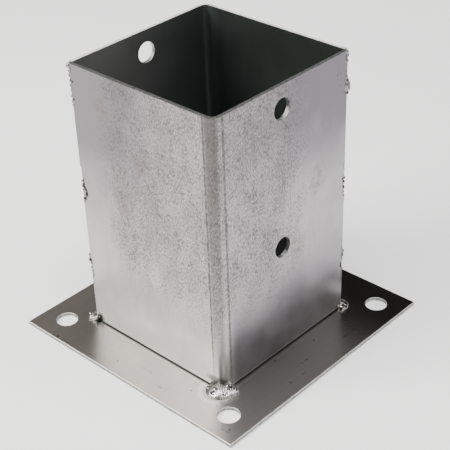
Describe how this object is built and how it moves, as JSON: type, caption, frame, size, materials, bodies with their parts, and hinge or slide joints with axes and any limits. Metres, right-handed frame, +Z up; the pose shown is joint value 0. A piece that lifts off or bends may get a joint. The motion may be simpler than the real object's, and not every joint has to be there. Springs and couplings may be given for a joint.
{
  "type": "post base",
  "caption": "Open-top square sleeve of bent and welded steel sheet on a flat plate; it holds the foot of a timber post above a slab and is anchored through the plate's corners.",
  "frame": {"origin": "centre of the plate's underside", "axes": "+Z up along the socket, +X and +Y square to the plate's edges; the walls that face +X and -X carry the post's screw holes"},
  "size_m": [0.148, 0.148, 0.1523],
  "materials": {
    "sleeve_sheet": "zinc-coated sheet, dull grey with a fine dark speckle and handling scuffs",
    "plate_sheet": "zinc-coated sheet, smooth, satin",
    "weld_metal": "bright weld metal, rippled, with a few pits"
  },
  "bodies": {
    "root": {"base_plate": "plate_sheet", "front_angle": "sleeve_sheet", "rear_angle": "sleeve_sheet", "foot_weld_front": "weld_metal", "foot_weld_right": "weld_metal", "foot_weld_back": "weld_metal", "foot_weld_left": "weld_metal", "left_seam_weld_top": "weld_metal", "left_seam_weld_middle": "weld_metal", "left_seam_weld_lower": "weld_metal", "right_seam_weld_top": "weld_metal", "right_seam_weld_middle": "weld_metal", "right_seam_weld_lower": "weld_metal"}
  },
  "joints": []
}
